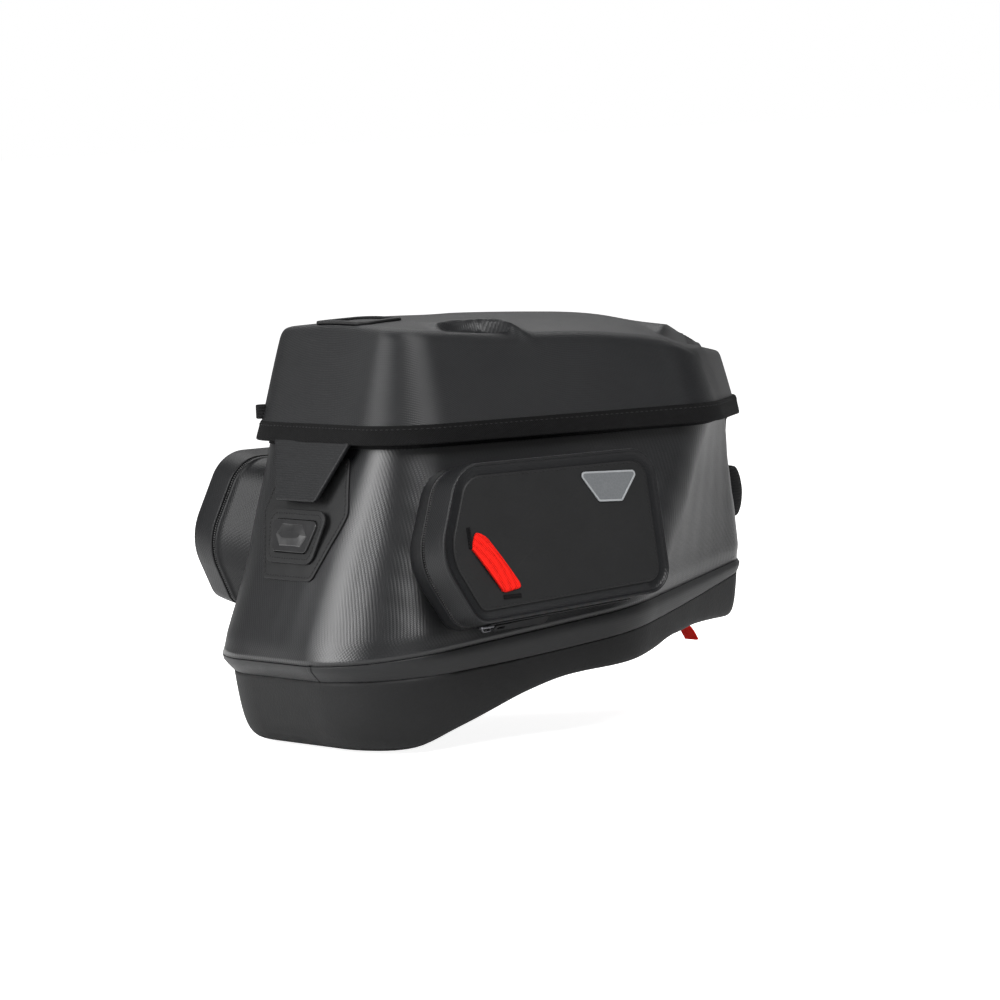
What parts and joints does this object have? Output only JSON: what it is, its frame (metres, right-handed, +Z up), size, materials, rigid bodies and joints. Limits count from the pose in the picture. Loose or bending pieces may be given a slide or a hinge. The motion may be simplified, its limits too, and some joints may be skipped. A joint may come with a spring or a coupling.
{
  "type": "motorcycle tank bag",
  "caption": "Hard-shell motorcycle tank bag: moulded lid zipped onto a deep tapered body, a drop-door pocket on each side, saddle-shaped base with a quick-release ring.",
  "frame": {"origin": "centre of the tank ring's lower face, where the bag sits on the ring fixed to the motorcycle's tank", "axes": "+X forward on the motorcycle, towards the bag's shallow nose; +Y left; +Z up, square to the lid's rim plane"},
  "size_m": [0.4131, 0.3376, 0.3007],
  "materials": {
    "lid_fabric": "matte fine-textured laminate on moulded foam",
    "body_fabric": "satin coated fabric with a fine diagonal weave",
    "tray_foam": "matte moulded foam",
    "webbing": "ribbed woven tape",
    "panel_fabric": "matte fine-textured laminate",
    "black_plastic": "moulded, fine-grained",
    "red_webbing": "ribbed elastic tape",
    "reflective": "retroreflective film",
    "steel": "nickel-plated",
    "mesh_net": "knitted net"
  },
  "bodies": {
    "bag": {"body_shell": "body_fabric", "weld_band": "body_fabric", "base_tray": "tray_foam", "body_zip_tape": "webbing", "lid_hinge_strip": "body_fabric", "rear_patch": "panel_fabric", "flap_loop_pad": "webbing", "badge_frame": "panel_fabric", "badge_insert": "black_plastic", "right_pocket_gusset": "body_fabric", "left_pocket_gusset": "body_fabric", "left_handle_anchor": "webbing", "right_handle_anchor": "webbing", "tank_ring_housing": "black_plastic", "ring_backing_plate": "black_plastic", "ring_screw_1": "steel", "ring_screw_2": "steel", "ring_screw_3": "steel", "ring_screw_4": "steel", "ring_magnet_1": "steel", "ring_magnet_2": "steel", "ring_magnet_3": "steel"},
    "lid": {"lid_shell": "lid_fabric", "lid_binding": "webbing", "lid_zip_tape": "webbing", "lid_top_panel": "panel_fabric", "lid_mesh_pocket": "mesh_net", "lid_side_loop": "webbing"},
    "flap": {"rear_flap": "lid_fabric", "flap_hook_pad": "webbing"},
    "handle": {"front_handle": "webbing"},
    "latch": {"tank_ring_latch": "black_plastic", "release_strap": "red_webbing"},
    "right_door": {"right_pocket_zip": "webbing", "right_pocket_door": "body_fabric", "right_pocket_face_panel": "panel_fabric", "right_pocket_reflector": "reflective", "right_elastic_strap": "red_webbing", "right_strap_tack_upper": "webbing", "right_strap_tack_lower": "webbing"},
    "right_lid_slider_body": {"right_lid_slider": "steel"},
    "right_lid_puller_body": {"right_lid_puller": "black_plastic"},
    "right_pocket_slider_body": {"right_pocket_slider": "steel"},
    "right_pocket_puller_body": {"right_pocket_puller": "black_plastic"},
    "left_door": {"left_pocket_zip": "webbing", "left_pocket_door": "body_fabric", "left_pocket_face_panel": "panel_fabric", "left_pocket_reflector": "reflective", "left_elastic_strap": "red_webbing", "left_strap_tack_upper": "webbing", "left_strap_tack_lower": "webbing"},
    "left_lid_slider_body": {"left_lid_slider": "steel"},
    "left_lid_puller_body": {"left_lid_puller": "black_plastic"},
    "left_pocket_slider_body": {"left_pocket_slider": "steel"},
    "left_pocket_puller_body": {"left_pocket_puller": "black_plastic"}
  },
  "joints": [
    {"name": "lid_hinge", "type": "hinge", "parent": "bag", "child": "lid", "pos_m": [0.146, 0, 0.163], "axis": [0, 1, 0], "range_deg": [0, 105]},
    {"name": "flap_hinge", "type": "hinge", "parent": "lid", "child": "flap", "pos_m": [-0.1919, 0, 0.1628], "axis": [0, 1, 0], "range_deg": [0, 120]},
    {"name": "handle_swing", "type": "hinge", "parent": "bag", "child": "handle", "pos_m": [0.152, 0, 0.102], "axis": [0, -1, 0], "range_deg": [-14, 19]},
    {"name": "latch_slide", "type": "slide", "parent": "bag", "child": "latch", "axis": [0.9903, 0, 0.1392], "range_m": [0, 0.008], "stiffness_N_per_m": 300, "springref_m": -0.005},
    {"name": "right_lid_slider_slide", "type": "slide", "parent": "bag", "child": "right_lid_slider_body", "axis": [0, -1, 0], "range_m": [0, 0.034]},
    {"name": "right_lid_puller_swing", "type": "hinge", "parent": "right_lid_slider_body", "child": "right_lid_puller_body", "pos_m": [-0.1897, -0.013, 0.1564], "axis": [0, 1, 0], "range_deg": [0, 4.5]},
    {"name": "right_door_hinge", "type": "hinge", "parent": "bag", "child": "right_door", "pos_m": [-0.0865, -0.14149, 0.04075], "axis": [0.9982, 0.0093, 0.0587], "range_deg": [0, 78]},
    {"name": "right_pocket_slider_slide", "type": "slide", "parent": "bag", "child": "right_pocket_slider_body", "axis": [0.9982, 0.0093, 0.0587], "range_m": [0, 0.02]},
    {"name": "right_pocket_puller_swing", "type": "hinge", "parent": "right_pocket_slider_body", "child": "right_pocket_puller_body", "pos_m": [-0.1361, -0.13713, 0.03342], "axis": [0, 0.9877, -0.1564], "range_deg": [0, 95]},
    {"name": "left_lid_slider_slide", "type": "slide", "parent": "bag", "child": "left_lid_slider_body", "axis": [0, 1, 0], "range_m": [0, 0.034]},
    {"name": "left_lid_puller_swing", "type": "hinge", "parent": "left_lid_slider_body", "child": "left_lid_puller_body", "pos_m": [-0.1897, 0.013, 0.1564], "axis": [0, 1, 0], "range_deg": [0, 4.5]},
    {"name": "left_door_hinge", "type": "hinge", "parent": "bag", "child": "left_door", "pos_m": [-0.0865, 0.14149, 0.04075], "axis": [-0.9982, 0.0093, -0.0587], "range_deg": [0, 78]},
    {"name": "left_pocket_slider_slide", "type": "slide", "parent": "bag", "child": "left_pocket_slider_body", "axis": [0.9982, -0.0093, 0.0587], "range_m": [0, 0.02]},
    {"name": "left_pocket_puller_swing", "type": "hinge", "parent": "left_pocket_slider_body", "child": "left_pocket_puller_body", "pos_m": [-0.1361, 0.13713, 0.03342], "axis": [0, 0.9877, 0.1564], "range_deg": [0, 95]}
  ]
}
